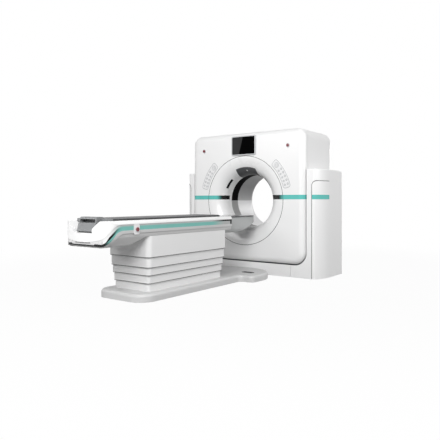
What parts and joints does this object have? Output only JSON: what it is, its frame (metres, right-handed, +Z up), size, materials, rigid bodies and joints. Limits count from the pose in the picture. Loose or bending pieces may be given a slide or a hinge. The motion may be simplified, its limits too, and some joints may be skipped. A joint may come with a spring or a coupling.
{
  "type": "ct scanner",
  "caption": "Medical CT scanner: tilting gantry with a round bore between two pillars, and a patient couch on a telescoping pedestal with a sliding cradle.",
  "frame": {"origin": "on the floor under the centre of the bore, in the scan plane", "axes": "+Z up; +Y from the couch into the bore; +X to the right of someone who faces the gantry from the couch"},
  "size_m": [2.1215, 3.475, 1.86],
  "materials": {
    "cover_white": "satin white moulded plastic",
    "ring_white": "satin white moulded plastic",
    "shell_grey": "light grey satin plastic",
    "key_white": "matte white plastic",
    "accent_teal": "teal stripe, black at its ends",
    "trim_dark": "matte black plastic",
    "trim_grey": "dark grey plastic",
    "stop_red": "dark red plastic",
    "screen_glass": "black display glass",
    "laser_glass": "dark laser window",
    "key_panel": "light grey membrane with round keys",
    "window_plastic": "grey scan window, black above",
    "liner_grey": "light grey liner",
    "frame_steel": "grey paint on steel",
    "bearing_steel": "ground steel",
    "column_metal": "anodised aluminium",
    "rotor_metal": "machined aluminium",
    "tube_metal": "grey paint",
    "detector_metal": "anodised aluminium",
    "slip_ring_brass": "polished brass",
    "motor_black": "black paint",
    "belt_rubber": "black rubber",
    "roller_rubber": "dark rubber",
    "guide_plastic": "pale slide plastic",
    "board_composite": "dark carbon-fibre board",
    "pad_cover": "dark vinyl over foam"
  },
  "bodies": {
    "base": {"base_frame": "frame_steel", "tilt_bearings": "bearing_steel", "plinth_cover": "cover_white", "pillar_shell_left": "cover_white", "pillar_shell_right": "cover_white", "pillar_doors": "cover_white", "pillar_stripes": "accent_teal", "couch_base_cover": "cover_white", "floor_fixings": "trim_dark", "pedestal_tier_5": "cover_white", "lift_stage_5": "column_metal"},
    "tier_4": {"pedestal_tier_4": "cover_white", "lift_stage_4": "column_metal"},
    "tier_3": {"pedestal_tier_3": "cover_white", "lift_stage_3": "column_metal"},
    "tier_2": {"pedestal_tier_2": "cover_white", "lift_stage_2": "column_metal"},
    "couch": {"pedestal_tier_1": "cover_white", "lift_stage_1": "column_metal", "couch_frame": "frame_steel", "cradle_guides": "guide_plastic", "couch_lower_shell": "cover_white", "couch_upper_shell": "cover_white", "couch_stripe": "accent_teal", "nose_shell": "shell_grey", "couch_stop_bases": "key_white"},
    "couch_stop_left": {"couch_stop_left": "stop_red"},
    "couch_stop_right": {"couch_stop_right": "stop_red"},
    "nose_roller": {"nose_roller": "roller_rubber"},
    "cradle": {"cradle_board": "board_composite", "mattress": "pad_cover", "cradle_handle": "trim_grey"},
    "gantry": {"tilt_frame": "frame_steel", "front_cover": "cover_white", "side_cover_left": "cover_white", "side_cover_right": "cover_white", "rear_cover": "cover_white", "front_ring_upper": "ring_white", "front_ring_lower": "ring_white", "scan_window": "window_plastic", "rear_liner": "liner_grey", "sensor_panel": "trim_dark", "laser_windows": "laser_glass", "gantry_stripes": "accent_teal", "display_frame": "shell_grey", "display_glass": "screen_glass", "control_panels": "key_panel", "gantry_stop_bases": "key_white", "main_bearing": "bearing_steel", "drive_motor": "motor_black", "drive_belt": "belt_rubber"},
    "gantry_stop_left": {"gantry_stop_left": "stop_red"},
    "gantry_stop_right": {"gantry_stop_right": "stop_red"},
    "rotor": {"rotor_drum": "rotor_metal", "xray_tube": "tube_metal", "collimator": "frame_steel", "detector": "detector_metal", "hv_generator": "tube_metal", "slip_ring": "slip_ring_brass"},
    "pulley": {"drive_pulley": "rotor_metal"}
  },
  "joints": [
    {"name": "gantry_tilt", "type": "hinge", "parent": "base", "child": "gantry", "pos_m": [0, 0, 0.962], "axis": [-1, 0, 0], "range_deg": [-15, 15]},
    {"name": "rotor_spin", "type": "hinge", "parent": "gantry", "child": "rotor", "pos_m": [0, 0.1, 0.962], "axis": [0, 1, 0], "continuous": true},
    {"name": "pulley_spin", "type": "hinge", "parent": "gantry", "child": "pulley", "pos_m": [0.64, 0.085, 0.422], "axis": [0, 1, 0], "continuous": true},
    {"name": "couch_lift", "type": "slide", "parent": "base", "child": "couch", "axis": [0, 0, 1], "range_m": [-0.3, 0.16]},
    {"name": "tier_4_lift", "type": "slide", "parent": "base", "child": "tier_4", "axis": [0, 0, 1], "range_m": [-0.08, 0.045]},
    {"name": "tier_3_lift", "type": "slide", "parent": "base", "child": "tier_3", "axis": [0, 0, 1], "range_m": [-0.155, 0.085]},
    {"name": "tier_2_lift", "type": "slide", "parent": "base", "child": "tier_2", "axis": [0, 0, 1], "range_m": [-0.23, 0.125]},
    {"name": "cradle_travel", "type": "slide", "parent": "couch", "child": "cradle", "axis": [0, 1, 0], "range_m": [0, 1.6]},
    {"name": "nose_roller_spin", "type": "hinge", "parent": "couch", "child": "nose_roller", "pos_m": [0, -0.393, 0.7376], "axis": [1, 0, 0], "continuous": true},
    {"name": "gantry_stop_left_press", "type": "slide", "parent": "gantry", "child": "gantry_stop_left", "axis": [0, 1, 0], "range_m": [0, 0.004], "stiffness_N_per_m": 2000},
    {"name": "gantry_stop_right_press", "type": "slide", "parent": "gantry", "child": "gantry_stop_right", "axis": [0, 1, 0], "range_m": [0, 0.004], "stiffness_N_per_m": 2000},
    {"name": "couch_stop_left_press", "type": "slide", "parent": "couch", "child": "couch_stop_left", "axis": [1, 0, 0], "range_m": [0, 0.004], "stiffness_N_per_m": 2000},
    {"name": "couch_stop_right_press", "type": "slide", "parent": "couch", "child": "couch_stop_right", "axis": [-1, 0, 0], "range_m": [0, 0.004], "stiffness_N_per_m": 2000}
  ],
  "couplings": [
    {"joint": "tier_4_lift", "follows": "couch_lift", "ratio": 0.25},
    {"joint": "tier_3_lift", "follows": "couch_lift", "ratio": 0.5},
    {"joint": "tier_2_lift", "follows": "couch_lift", "ratio": 0.75},
    {"joint": "pulley_spin", "follows": "rotor_spin", "ratio": 14.068},
    {"joint": "nose_roller_spin", "follows": "cradle_travel", "rad_per_m": -52.083}
  ]
}
